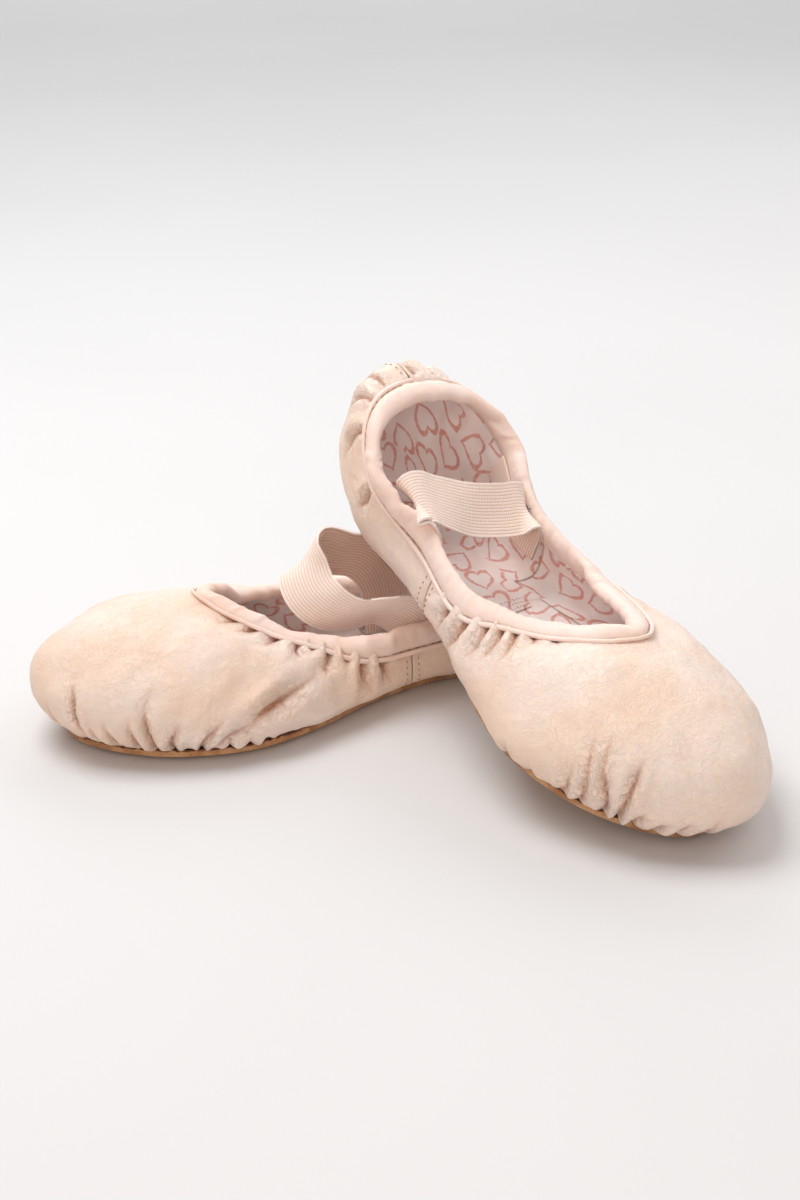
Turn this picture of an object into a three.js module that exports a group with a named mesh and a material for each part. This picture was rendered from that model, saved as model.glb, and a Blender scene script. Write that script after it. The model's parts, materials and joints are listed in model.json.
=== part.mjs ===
// A pair of soft leather ballet slippers, one lying flat and one propped across it.
// Millimetres, +Z up. The origin is on the floor, under the flat slipper's outsole,
// and that slipper's toe points along -X.
import * as THREE from 'three';

// ---------------------------------------------------------------- driving dimensions
const lastLength = 227; // heel to toe of the stuffed slipper
const lastWidth = 92; // across the ball of the foot
const lastHeight = 60; // floor to the topline at the heel
const outsoleThickness = 2.7;
const boardThickness = 1.2;
const sockThickness = 0.8;
const leatherThickness = 1.2;
const liningThickness = 0.5;
const bindingThickness = 0.9;
const bindingDepth = 9; // how far the binding laps down the upper
const drawcordWidth = 1.6;
const drawcordThickness = 1;
const drawcordClearance = 0.7; // to the fold above it and the edge of the upper below
const strapWidth = 21;
const strapThickness = 1.2;
const archRoundness = 0.8; // share of a low strap's rise that is rounded
const strapPlace = 62; // centre of the strap, measured from the heel feather edge
const strapSewnDepth = 11; // sewn ends sit this far below the topline
const strapTabLength = 12;
const stitchThickness = 0.5;
const stitchHeight = 2.5; // of the sewn bar across each strap end
const stitchMargin = 2; // from the end of the bar to the strap's edge
const proppedStrapRise = 13; // strap drawn flat across the opening
const restingStrapRise = 58; // strap standing as a loose loop
const restingStrapLean = 57; // degrees that the loop leans towards the toe
const insoleInset = 1.5; // of the insole board, from the feather edge
const clearance = 0.3; // between pieces that touch
const bindingClearance = 0.5; // between the binding's legs and the upper
const heelSlump = 0.28; // share of its height that the pressed heel loses
const proppedYaw = -77; // degrees, heading of the propped slipper's toe
const proppedRoll = -2;
const soleMiddle = 110; // from the resting heel's feather edge to the origin
const crossingOnResting = 51; // where the propped sole crosses, from the resting heel
const crossingOnPropped = 66; // the same crossing, from the propped heel
const proppedSoleHalfWidth = 20; // of the sole at that crossing
const crossingClearance = 2.3; // between the propped sole and the binding under it

// ---------------------------------------------------------------- shape of the last
// Four rings of control points, heel centre to toe centre on the left side, drawn for a
// last of the size below. Each meridian of the upper is a cubic curve that leaves the
// feather ring, is pulled by the belly and crown rings, and ends on the topline ring.
const drawnLast = { length: 227, width: 92, height: 60 };
const featherHeight = 3;
const rings = {
  feather: [[10, 0, 3], [15, 11, 3], [32, 18, 3], [61, 18, 3], [89, 24, 3],
    [117, 33, 3], [144, 38, 3], [172, 31, 3], [192, 16, 3], [200, 0, 3]],
  belly: [[-12, 0, 7], [-4, 20, 6], [26, 32, 5], [61, 34, 3], [93, 42, 3],
    [123, 54, 3], [153, 59, 3], [187, 46, 5], [217, 28, 13], [228, 0, 17]],
  crown: [[-27, 0, 76], [-14, 20, 68], [28, 31, 44], [62, 27.5, 29], [88.5, 31, 25],
    [117, 35, 37], [143, 38, 44], [179, 39, 50], [207, 25, 50], [222, 0, 52]],
  topline: [[14, 0, 60], [20, 22, 58], [38, 34, 48], [64, 26, 37], [87, 28, 32],
    [106, 22, 32], [120, 17, 36], [131, 11, 42], [139, 6, 47], [145, 0, 50]],
};
const toeOfFeather = rings.feather.at(-1)[0];
const slumpFull = 40; // the pressed heel is lowest from here back
const slumpStart = 95; // and keeps its height from here forward

const STATIONS = 48; // facets around the slipper
const SIDE_SEAM = 9; // station of the left side seam between quarter and vamp
const BODY_ROWS = 4; // facets up the side, below the binding
const TOPLINE_SAMPLES = 600;

const scale = {
  x: lastLength / drawnLast.length,
  y: lastWidth / drawnLast.width,
  z: lastHeight / drawnLast.height,
};
const feather = outsoleThickness + clearance;

const leather = material('#f4ddd3', 0.5);
const bindingLeather = material('#f6e2d9', 0.55);
const suede = material('#af7653', 0.95);
const cotton = material('#ecdcd8', 0.9);
const board = material('#c9b49a', 0.9);
const elastic = material('#f2ddd2', 0.8);
const thread = material('#5a4a46', 0.7);

function material(color, roughness) {
  return new THREE.MeshStandardMaterial({ color, roughness, metalness: 0 });
}

// ---------------------------------------------------------------- mesh building
function mesh(name, points, triangles, finish) {
  const geometry = new THREE.BufferGeometry();
  const position = new Float32Array(points.flatMap((p) => [p.x, p.y, p.z]));
  geometry.setAttribute('position', new THREE.BufferAttribute(position, 3));
  geometry.setIndex(triangles);
  geometry.computeVertexNormals();
  const made = new THREE.Mesh(geometry, finish);
  made.name = name;
  return made;
}

// Joins a row of sections, each the same count of points and turning the same way, into
// a closed body: a closed loop, or a length with flat ends.
function loft(name, sections, finish, isLoop) {
  const count = sections[0].length;
  const points = sections.flat();
  const triangles = [];
  const last = isLoop ? sections.length : sections.length - 1;
  for (let i = 0; i < last; i += 1) {
    const here = i * count;
    const next = ((i + 1) % sections.length) * count;
    for (let j = 0; j < count; j += 1) {
      const k = (j + 1) % count;
      triangles.push(...quad(points, here + j, here + k, next + k, next + j));
    }
  }
  if (!isLoop) {
    const end = last * count;
    capEnd(triangles, sections[0], 0, false);
    capEnd(triangles, sections[last], end, true);
  }
  return mesh(name, points, triangles, finish);
}

// Two triangles across the shorter diagonal, so that layers that lie on each other match.
function quad(points, a, b, c, d) {
  const isFirstShorter = points[a].distanceTo(points[c]) < points[b].distanceTo(points[d]);
  return isFirstShorter ? [a, b, c, a, c, d] : [a, b, d, b, c, d];
}

// Closes an end of a loft as a ladder between the section's first and second half.
function capEnd(triangles, section, start, isLast) {
  const count = section.length;
  for (let j = 0; j < count / 2 - 1; j += 1) {
    const a = start + j;
    const b = start + j + 1;
    const c = start + count - 2 - j;
    const d = start + count - 1 - j;
    if (isLast) triangles.push(a, b, c, a, c, d);
    else triangles.push(a, c, b, a, d, c);
  }
}

// A level plate of the given outline, both faces fanned from its middle.
function plate(name, outline, low, high, finish) {
  const count = outline.length;
  const middle = outline.reduce((sum, p) => sum.add(p), new THREE.Vector3()).divideScalar(count);
  const points = [low, high].flatMap((z) => outline.map((p) => new THREE.Vector3(p.x, p.y, z)));
  points.push(new THREE.Vector3(middle.x, middle.y, low), new THREE.Vector3(middle.x, middle.y, high));
  const triangles = [];
  for (let i = 0; i < count; i += 1) {
    const k = (i + 1) % count;
    triangles.push(i, k, 2 * count, k + count, i + count, 2 * count + 1);
    triangles.push(k, i, i + count, k, i + count, k + count);
  }
  return mesh(name, points, triangles, finish);
}

// ---------------------------------------------------------------- the last's surface
class Last {
  constructor(slump) {
    this.slump = slump;
    this.curves = Object.values(rings).map((half) => this.ring(half));
  }

  ring(half) {
    const left = half.map(([x, y, z]) => this.place(x, y, z));
    const right = left.slice(1, -1).reverse().map((p) => new THREE.Vector3(p.x, -p.y, p.z));
    return new THREE.CatmullRomCurve3([...left, ...right], true, 'catmullrom', 0.5);
  }

  place(x, y, z) {
    const press = 1 - this.slump * (1 - THREE.MathUtils.smoothstep(x, slumpFull, slumpStart));
    const height = feather + (z - featherHeight) * scale.z * press;
    return new THREE.Vector3(x * scale.x, y * scale.y, height);
  }

  meridian(station) {
    const around = THREE.MathUtils.euclideanModulo(station / STATIONS, 1);
    return new THREE.CubicBezierCurve3(...this.curves.map((curve) => curve.getPoint(around)));
  }

  // The point at a distance down from the topline and a depth in from the outer face.
  at(station, fromTopline, depth) {
    const line = this.meridian(station);
    const reach = line.getLength() - fromTopline;
    const t = THREE.MathUtils.clamp(line.getUtoTmapping(0, reach), 0, 1);
    const nearby = 0.01;
    const along = this.meridian(station + nearby).getPoint(t)
      .sub(this.meridian(station - nearby).getPoint(t));
    const inward = along.cross(line.getTangent(t)).normalize();
    return line.getPoint(t).addScaledVector(inward, depth);
  }

  height(station) {
    return this.meridian(station).getLength();
  }

  featherOutline(inset) {
    return range(0, STATIONS - 1, STATIONS - 1).map((station) => {
      const around = station / STATIONS;
      const point = this.curves[0].getPoint(around);
      const along = this.curves[0].getTangent(around);
      return point.addScaledVector(new THREE.Vector3(along.y, -along.x, 0), inset);
    });
  }

  // Where the topline passes a given distance from the heel, on the left side.
  toplineAt(x) {
    const samples = range(0, STATIONS / 2, TOPLINE_SAMPLES).map((station) => this.at(station, 0, 0));
    return samples.reduce((best, p) => (Math.abs(p.x - x) < Math.abs(best.x - x) ? p : best));
  }
}

function range(from, to, steps) {
  return Array.from({ length: steps + 1 }, (_, i) => from + ((to - from) * i) / steps);
}

// ---------------------------------------------------------------- layers of the upper
const leatherIn = leatherThickness;
const liningOut = leatherIn + clearance;
const liningIn = liningOut + liningThickness;
const drawcordTop = bindingThickness + drawcordClearance;
const upperEdge = drawcordTop + drawcordWidth + drawcordClearance;

// One cut panel of leather or lining, between two stations around the slipper.
function panel(name, last, from, to, outer, inner, finish) {
  const seam = seamStep(last);
  const stations = range(from + seam, to - seam, to - from);
  const sections = stations.map((station) => {
    const body = last.height(station) - bindingDepth;
    const drops = range(body, 0, BODY_ROWS).map((down) => down + bindingDepth);
    drops.push(upperEdge);
    const outside = drops.map((down) => last.at(station, down, outer));
    const inside = drops.map((down) => last.at(station, down, inner)).reverse();
    return [...outside, ...inside];
  });
  return loft(name, sections, finish, false);
}

// Half of the clearance at a seam, as a share of a station.
function seamStep(last) {
  const around = last.curves[0].getLength() / STATIONS;
  return clearance / 2 / around;
}

// The binding is folded over the upper's edge: a long leg outside and one inside.
function binding(name, last) {
  const outerFace = -bindingClearance - bindingThickness;
  const innerFace = liningIn + bindingClearance + bindingThickness;
  const profile = [
    [bindingDepth, outerFace], [bindingThickness, outerFace], [0, outerFace + bindingThickness],
    [0, innerFace - bindingThickness], [bindingThickness, innerFace], [bindingDepth, innerFace],
    [bindingDepth, innerFace - bindingThickness], [upperEdge, innerFace - bindingThickness],
    [bindingThickness, innerFace - bindingThickness], [bindingThickness, outerFace + bindingThickness],
    [upperEdge, outerFace + bindingThickness], [bindingDepth, outerFace + bindingThickness],
  ];
  return loft(name, around(last, profile), bindingLeather, true);
}

// The elastic drawcord runs right round, inside the fold of the binding.
function drawcord(name, last) {
  const near = (liningIn - drawcordThickness) / 2;
  const far = near + drawcordThickness;
  const bottom = drawcordTop + drawcordWidth;
  const profile = [[bottom, near], [drawcordTop, near], [drawcordTop, far], [bottom, far]];
  return loft(name, around(last, profile), elastic, true);
}

function around(last, profile) {
  return range(0, STATIONS - 1, STATIONS - 1).map((station) => (
    profile.map(([down, depth]) => last.at(station, down, depth))
  ));
}

// ---------------------------------------------------------------- the elastic strap
// Half the distance between the outer faces of the strap's legs.
function strapHalfSpan(last) {
  const bindingIn = liningIn + bindingClearance + bindingThickness;
  const edges = [-1, 0, 1].map((side) => last.toplineAt(strapPlace + (side * strapWidth) / 2).y);
  const tab = strapThickness + 2 * clearance;
  return Math.min(...edges) - bindingIn - tab;
}

// The line that the strap swings on, through its two sewn ends.
function strapPivot(last) {
  return new THREE.Vector3(strapPlace, 0, last.toplineAt(strapPlace).z - strapSewnDepth);
}

// Up one leg, over and down the other, as an arch that stands straight or leans.
function strapBand(name, last, rise, lean) {
  const half = strapHalfSpan(last);
  const bend = Math.min(rise * archRoundness, half - strapThickness);
  const outer = archOutline(half, rise, bend);
  const inner = archOutline(half - strapThickness, rise - strapThickness, bend - strapThickness);
  const sections = outer.map(([y, z], i) => [
    new THREE.Vector3(-strapWidth / 2, y, z),
    new THREE.Vector3(strapWidth / 2, y, z),
    new THREE.Vector3(strapWidth / 2, ...inner[i]),
    new THREE.Vector3(-strapWidth / 2, ...inner[i]),
  ]);
  const turn = new THREE.Matrix4().makeRotationY(THREE.MathUtils.degToRad(lean));
  turn.setPosition(strapPivot(last));
  sections.flat().forEach((point) => point.applyMatrix4(turn));
  return loft(name, sections, elastic, false);
}

// An arch with straight legs and elliptical shoulders, from the right foot to the left.
function archOutline(half, rise, bend) {
  const shoulderSteps = 5;
  const quarter = range(0, Math.PI / 2, shoulderSteps).map((turn) => [
    half - bend + bend * Math.cos(turn), rise - bend + bend * Math.sin(turn),
  ]);
  const left = [[half, 0], ...quarter];
  const right = left.map(([y, z]) => [-y, z]).reverse();
  return [...left, ...right].reverse();
}

// A sewn end of the strap, flat against the binding, and the stitching across it.
function strapEnd(name, last, side) {
  const outside = strapHalfSpan(last) + clearance + strapThickness;
  const centre = strapPivot(last);
  const tab = new THREE.BoxGeometry(strapWidth, strapThickness, strapTabLength);
  const height = centre.z + strapSewnDepth - bindingThickness - strapTabLength / 2 - clearance;
  tab.translate(centre.x, side * (outside - strapThickness / 2), height);
  const made = new THREE.Mesh(tab, elastic);
  made.name = name;
  return made;
}

function strapStitch(name, last, side) {
  const outside = strapHalfSpan(last) + clearance + strapThickness;
  const centre = strapPivot(last);
  const length = strapWidth - 2 * stitchMargin;
  const bar = new THREE.BoxGeometry(length, stitchThickness, stitchHeight);
  const tabBottom = centre.z + strapSewnDepth - bindingThickness - strapTabLength - clearance;
  const across = outside + clearance + stitchThickness / 2;
  bar.translate(centre.x, side * across, tabBottom + stitchHeight);
  const made = new THREE.Mesh(bar, thread);
  made.name = name;
  return made;
}

// ---------------------------------------------------------------- one slipper
function slipper(prefix, slump, strapRise, strapLean) {
  const last = new Last(slump);
  const boardLow = outsoleThickness + clearance;
  const boardHigh = boardLow + boardThickness;
  const sockLow = boardHigh + clearance;
  const rightSeam = STATIONS - SIDE_SEAM;
  const insole = last.featherOutline(insoleInset);
  const group = new THREE.Group();
  const named = (part) => `${prefix}_${part}`;
  group.add(
    plate(named('outsole'), last.featherOutline(0), 0, outsoleThickness, suede),
    plate(named('insole_board'), insole, boardLow, boardHigh, board),
    plate(named('insole_sock'), insole, sockLow, sockLow + sockThickness, cotton),
    panel(named('vamp'), last, SIDE_SEAM, rightSeam, 0, leatherIn, leather),
    panel(named('quarter_left'), last, 0, SIDE_SEAM, 0, leatherIn, leather),
    panel(named('quarter_right'), last, rightSeam, STATIONS, 0, leatherIn, leather),
    panel(named('vamp_lining'), last, SIDE_SEAM, rightSeam, liningOut, liningIn, cotton),
    panel(named('quarter_lining_left'), last, 0, SIDE_SEAM, liningOut, liningIn, cotton),
    panel(named('quarter_lining_right'), last, rightSeam, STATIONS, liningOut, liningIn, cotton),
    binding(named('topline_binding'), last),
    drawcord(named('drawcord'), last),
    strapBand(named('strap'), last, strapRise, strapLean),
    strapEnd(named('strap_end_left'), last, 1),
    strapEnd(named('strap_end_right'), last, -1),
    strapStitch(named('strap_stitch_left'), last, 1),
    strapStitch(named('strap_stitch_right'), last, -1),
  );
  return { group, last };
}

// ---------------------------------------------------------------- the pair
const resting = slipper('resting', heelSlump, restingStrapRise, restingStrapLean);
resting.group.rotation.z = Math.PI;
resting.group.position.x = soleMiddle;

const propped = slipper('propped', 0, proppedStrapRise, 0);
const crossingBelow = crossingOnResting * scale.x;
const crossingAbove = crossingOnPropped * scale.x;
const crossing = resting.last.toplineAt(crossingBelow);
const bindingOut = bindingClearance + bindingThickness;
const highest = resting.last.toplineAt(crossingBelow - proppedSoleHalfWidth * scale.y);
const supportHeight = highest.z + bindingOut + crossingClearance;
const run = toeOfFeather * scale.x - crossingAbove;
const pitch = Math.asin(supportHeight / run);
const tilted = new THREE.Group();
tilted.add(propped.group);
propped.group.position.set(-crossingAbove, 0, 0);
tilted.rotation.set(
  THREE.MathUtils.degToRad(proppedRoll), pitch, THREE.MathUtils.degToRad(proppedYaw), 'ZYX',
);
tilted.position.set(soleMiddle - crossing.x, -crossing.y, supportHeight);

const pair = new THREE.Group();
pair.add(resting.group, tilted);
pair.updateMatrixWorld(true);
tilted.position.z -= new THREE.Box3().setFromObject(tilted, true).min.z;

export default pair;
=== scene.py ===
"""A pair of soft leather ballet slippers: one lies flat, the other is propped across it.

Each slipper is drawn in its own frame in millimetres (x from the heel to the toe, y to the
wearer's left, z up from the floor under the sole) and placed by the frame's mounts and
joints. Places round the slipper are stations, 0 at the heel and 24 at the toe, going by the
left side. Heights on the upper are distances down from the topline, called drops.
"""
import json
import logging
import math
from dataclasses import dataclass, field
from enum import Enum

import bpy
import numpy as np
from mathutils import Matrix, Vector


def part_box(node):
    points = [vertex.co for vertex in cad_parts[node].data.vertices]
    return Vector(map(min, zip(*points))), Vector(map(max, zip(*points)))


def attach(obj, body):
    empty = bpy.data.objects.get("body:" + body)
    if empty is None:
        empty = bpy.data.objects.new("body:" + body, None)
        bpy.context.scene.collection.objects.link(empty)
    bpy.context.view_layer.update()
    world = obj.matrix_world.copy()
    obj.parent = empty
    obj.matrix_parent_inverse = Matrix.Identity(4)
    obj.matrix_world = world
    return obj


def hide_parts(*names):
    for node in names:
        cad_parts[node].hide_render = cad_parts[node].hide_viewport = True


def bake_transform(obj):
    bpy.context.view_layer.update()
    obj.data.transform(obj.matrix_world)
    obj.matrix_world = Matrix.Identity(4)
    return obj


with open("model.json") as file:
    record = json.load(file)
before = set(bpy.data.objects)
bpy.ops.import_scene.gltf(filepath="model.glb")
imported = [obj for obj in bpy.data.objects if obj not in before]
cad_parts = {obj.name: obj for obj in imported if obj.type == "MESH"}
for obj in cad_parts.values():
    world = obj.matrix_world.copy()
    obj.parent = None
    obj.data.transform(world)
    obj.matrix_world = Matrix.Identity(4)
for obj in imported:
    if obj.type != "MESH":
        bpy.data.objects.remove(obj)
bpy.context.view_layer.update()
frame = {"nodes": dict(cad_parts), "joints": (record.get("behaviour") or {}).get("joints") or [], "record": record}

LOG = logging.getLogger("slippers")
MM = 0.001
STATIONS = 48
SIDE_SEAM = 9
TOE = 24
MM_PER_STATION = 8.6
Points = np.ndarray
Piece = bpy.types.Object
Material = bpy.types.Material
Node = bpy.types.Node


class Side(Enum):
    """The two ends of a strap, by the side of the slipper that they are sewn to."""

    RIGHT = "right"
    LEFT = "left"


class Slot(Enum):
    """The material slots of the record."""

    LEATHER = "leather"
    BINDING = "binding"
    SUEDE = "suede"
    COTTON = "cotton"
    ELASTIC = "elastic"
    THREAD = "thread"


# ---------------------------------------------------------------- small tools
def smoothstep(low: float, high: float, value: Points) -> Points:
    """Eases from 0 at low to 1 at high."""
    share = np.clip((value - low) / (high - low), 0, 1)
    return share * share * (3 - 2 * share)


def unit(vectors: Points) -> Points:
    """Scales each vector to length one."""
    return vectors / np.maximum(np.linalg.norm(vectors, axis=-1, keepdims=True), 1e-9)


def ripple(points: Points, wavelength: float, seed: int, waves: int = 16) -> Points:
    """A smooth random field of about unit size.

    Args:
        points: places in millimetres, with three numbers in the last axis.
        wavelength: mean distance between crests in millimetres.
        seed: chooses the field.
        waves: how many plane waves are summed.

    Returns:
        One value for each place.
    """
    random = np.random.default_rng(seed)
    directions = unit(random.normal(size=(waves, 3)))
    lengths = wavelength * random.uniform(0.75, 1.4, waves)
    turns = random.uniform(0, 2 * np.pi, waves)
    return np.sin(points @ (directions.T * 2 * np.pi / lengths) + turns).sum(-1) / math.sqrt(waves / 2)


def pairs(first: Points, second: Points) -> Points:
    """Two numbers for each point of a grid, from arrays that broadcast to it."""
    return np.stack(np.broadcast_arrays(first, second), axis=2)


def between(a: Points, b: Points, c: Points, d: Points, t: Points) -> Points:
    """The point at share t of the way from b to c on the smooth curve through all four."""
    return b + 0.5 * t * ((c - a) + t * (2 * a - 5 * b + 4 * c - d + t * (3 * (b - c) + d - a)))


def catmull_rom(points: Points, around: Points) -> Points:
    """Points on a closed curve through the given points, at shares of the way around."""
    count = len(points)
    place = np.mod(around, 1.0) * count
    start = np.floor(place).astype(int)
    share = (place - start)[:, None]
    a, b, c, d = (points[(start + step) % count] for step in (-1, 0, 1, 2))
    return between(a, b, c, d, share)


def span(points: Points) -> Points:
    """Mean distance walked along the first axis, for points of n by m by 2 or 3."""
    return np.r_[0, np.cumsum(np.linalg.norm(np.diff(points, axis=0), axis=2).mean(1))]


def smooth_line(points: list, count: int) -> Points:
    """An open smooth curve through the points, as count points evenly spaced by length."""
    ends = np.array([points[0], *points, points[-1]], float)
    t = np.linspace(0, 1, 24, endpoint=False)[:, None]
    fine = [between(*four, t) for four in zip(ends, ends[1:], ends[2:], ends[3:])]
    line = np.vstack([*fine, ends[-1:]])
    length = span(line[:, None])
    even = np.linspace(0, length[-1], count)
    return np.stack([np.interp(even, length, line[:, k]) for k in range(line.shape[1])], axis=1)


# ---------------------------------------------------------------- the last
@dataclass
class Last:
    """The form that the upper is pulled over: four rings, heel centre to toe centre, left side.

    Each line up the upper is a cubic curve from the feather ring, pulled by the belly and
    crown rings, to the topline ring.
    """

    slump: float = 0.0
    feather_rise: float = 0.0
    feather: tuple = ((10, 0, 3), (15, 11, 3), (32, 18, 3), (61, 18, 3), (89, 24, 3),
                      (117, 33, 3), (144, 38, 3), (172, 31, 3), (192, 16, 3), (200, 0, 3))
    belly: tuple = ((-12, 0, 7), (-4, 20, 6), (26, 32, 5), (61, 34, 3), (93, 42, 3),
                    (123, 54, 3), (153, 59, 3), (187, 46, 5), (217, 28, 13), (228, 0, 17))
    crown: tuple = ((-27, 0, 76), (-14, 20, 68), (28, 31, 44), (62, 27.5, 29), (88.5, 31, 25),
                    (117, 35, 37), (143, 38, 44), (179, 39, 50), (207, 25, 50), (222, 0, 52))
    topline: tuple = ((14, 0, 60), (20, 22, 58), (38, 34, 48), (64, 26, 37), (87, 28, 32),
                      (106, 22, 32), (120, 17, 36), (131, 11, 42), (139, 6, 47), (145, 0, 50))
    slump_full: float = 40.0
    slump_start: float = 95.0
    rows: int = 140

    def ring(self, half: tuple, rise: float = 0.0) -> Points:
        """The whole ring of a half, mirrored, with the pressed heel lowered."""
        left = np.array(half, float)
        press = 1 - self.slump * (1 - smoothstep(self.slump_full, self.slump_start, left[:, 0]))
        left[:, 2] = 3 + (left[:, 2] - 3) * press + rise
        return np.vstack([left, (left[1:-1] * [1, -1, 1])[::-1]])

    def lines(self, station: Points) -> tuple:
        """Lines up the upper: points, outward normals and distances down from the topline."""
        t = np.linspace(1, 0, self.rows)[None, :, None]

        def surface(at_station: Points) -> Points:
            around = at_station / STATIONS
            low, belly, crown, top = (
                catmull_rom(self.ring(half, rise), around)[:, None]
                for half, rise in ((self.feather, self.feather_rise), (self.belly, self.feather_rise / 2),
                                   (self.crown, 0), (self.topline, 0)))
            u = 1 - t
            return u**3 * low + 3 * u**2 * t * belly + 3 * u * t * t * crown + t**3 * top

        points = surface(station)
        along = surface(station + 0.05) - surface(station - 0.05)
        down = np.gradient(points, axis=1)
        normals = unit(np.cross(along, down))
        steps = np.linalg.norm(np.diff(points, axis=1), axis=2)
        drops = np.concatenate([np.zeros((len(station), 1)), np.cumsum(steps, axis=1)], axis=1)
        return points, normals, drops

    def at(self, station: Points, drop: Points, out: Points | float = 0.0) -> tuple:
        """Points on the upper.

        Args:
            station: n places round the slipper.
            drop: n rows of m distances down from the topline, in millimetres.
            out: how far outside the upper's outer face, the same shape or one number.

        Returns:
            The points and the outward normals, each n by m by 3.
        """
        station = np.atleast_1d(np.asarray(station, float))
        drop = np.broadcast_to(np.asarray(drop, float), (len(station), np.shape(drop)[-1]))
        points, normals, drops = self.lines(station)
        found = np.empty((*drop.shape, 6))
        both = np.concatenate([points, normals], axis=2)
        for i in range(len(station)):
            below = np.minimum(drop[i], drops[i, -1])
            for k in range(6):
                found[i, :, k] = np.interp(below, drops[i], both[i, :, k])
        place, normal = found[..., :3], unit(found[..., 3:])
        above = np.minimum(drop, 0)[..., None]
        rise = unit(points[:, :1] - points[:, 3:4])
        out = np.broadcast_to(np.asarray(out, float), drop.shape)[..., None]
        return place - above * rise + out * normal, normal

    def height(self, station: Points) -> Points:
        """Length of the line from the topline to the feather edge."""
        return self.lines(np.atleast_1d(np.asarray(station, float)))[2][:, -1]

    def outline(self, count: int, outward: float = 0.0) -> Points:
        """The feather edge seen from above, anticlockwise, moved outward."""
        around = 1 - np.arange(count) / count
        ring = self.ring(self.feather)
        points = catmull_rom(ring, around)
        along = catmull_rom(ring, around + 1e-4) - catmull_rom(ring, around - 1e-4)
        side = unit(np.stack([-along[:, 1], along[:, 0], 0 * along[:, 0]], axis=1))
        return points + outward * side


def band_share(station: Points) -> Points:
    """How deep the binding is at each station, 1 along the sides and less at the toe end."""
    return 1 - 0.3 * np.exp(-(((station - TOE) / 2.6) ** 2))


# ---------------------------------------------------------------- creases in the leather
@dataclass(frozen=True)
class Crease:
    """A pinched line in the leather, from its deep end, as (station, share of the height)."""

    path: tuple
    depth: float = 1.6
    width: float = 1.3
    lip: float = 0.4
    fade_start: float = 0.0
    spread: float = 0.9


class Wrinkles:
    """All creases of one upper, which it presses into points of its surface."""

    def __init__(self, last: Last, creases: list) -> None:
        """Lays each crease on the last as a line of points in millimetres."""
        self.lines = []
        for crease in creases:
            track = smooth_line([tuple(p) for p in crease.path], 30)
            drops = (1 - track[:, 1]) * last.height(track[:, 0])
            self.lines.append((crease, last.at(track[:, 0], drops[:, None])[0][:, 0]))

    def press(self, points: Points) -> tuple:
        """The push along the normal in millimetres, how creased each point is and how close it is to a crease's
        line, where shade is painted.

        Args:
            points: n places on the upper.

        Returns:
            Three arrays of n numbers, the last two from 0 to 1.
        """
        push, creased, pinched = np.zeros((3, len(points)))
        for crease, line in self.lines:
            reach = crease.width * (1 + crease.spread) * 6
            near = np.flatnonzero(((points > line.min(0) - reach) & (points < line.max(0) + reach)).all(1))
            if not len(near):
                continue
            start, step = line[:-1], np.diff(line, axis=0)
            offset = points[near, None] - start
            t = np.clip((offset * step).sum(2) / (step**2).sum(1), 0, 1)
            gap = np.linalg.norm(offset - t[..., None] * step, axis=2)
            nearest = gap.argmin(1)
            far = gap[np.arange(len(near)), nearest]
            along = (nearest + t[np.arange(len(near)), nearest]) / len(step)
            fade = 1 - smoothstep(0.25, 1, along)
            if crease.fade_start:
                fade = fade * smoothstep(0, crease.fade_start, along)
            width = crease.width * (0.55 + crease.spread * along)
            ratio = far / width
            groove = np.exp(-(ratio**1.25))
            lips = np.exp(-(((ratio - 3.2) / 1.8) ** 2))
            push[near] += crease.depth * fade * (crease.lip * lips - groove)
            creased[near] = np.maximum(creased[near], fade * np.exp(-(ratio / 2.6) ** 2))
            pinched[near] = np.maximum(pinched[near], fade**0.6 * np.exp(-(far / 0.75) ** 2))
        return push, creased, pinched


def sole_pleats(seed: int, first: float, last_station: float, pitch: float) -> list:
    """Short pleats all along the feather edge, drawn tight at the sole and opening upwards."""
    random = np.random.default_rng(seed)
    pleats, station = [], first
    while station < last_station:
        reach = random.uniform(0.12, 0.26)
        lean = random.normal(0, 0.18)
        path = ((station, 0.0), (station + 0.3 * lean, reach * 0.5), (station + lean, reach))
        pleats.append(Crease(path, random.uniform(0.9, 1.7), random.uniform(0.8, 1.2), 0.45))
        station += pitch * random.uniform(0.7, 1.3)
    return pleats


def topline_gathers(seed: int, first: float, last_station: float, pitch: float, size: float,
                    reach: float) -> list:
    """Gathers that hang from the binding's seam and fade down the upper."""
    random = np.random.default_rng(seed)
    gathers, station, top = [], first, 0.84
    while station < last_station:
        length = reach * random.uniform(0.6, 1.35)
        lean = random.normal(0, 0.12)
        path = ((station, 0.86), (station + 0.4 * lean, top - length * 0.5), (station + lean, top - length))
        depth = size * random.uniform(0.7, 1.25)
        gathers.append(Crease(path, depth, random.uniform(1.2, 1.7), 0.5, spread=1.4))
        station += pitch * random.uniform(0.7, 1.3)
    return gathers


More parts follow.
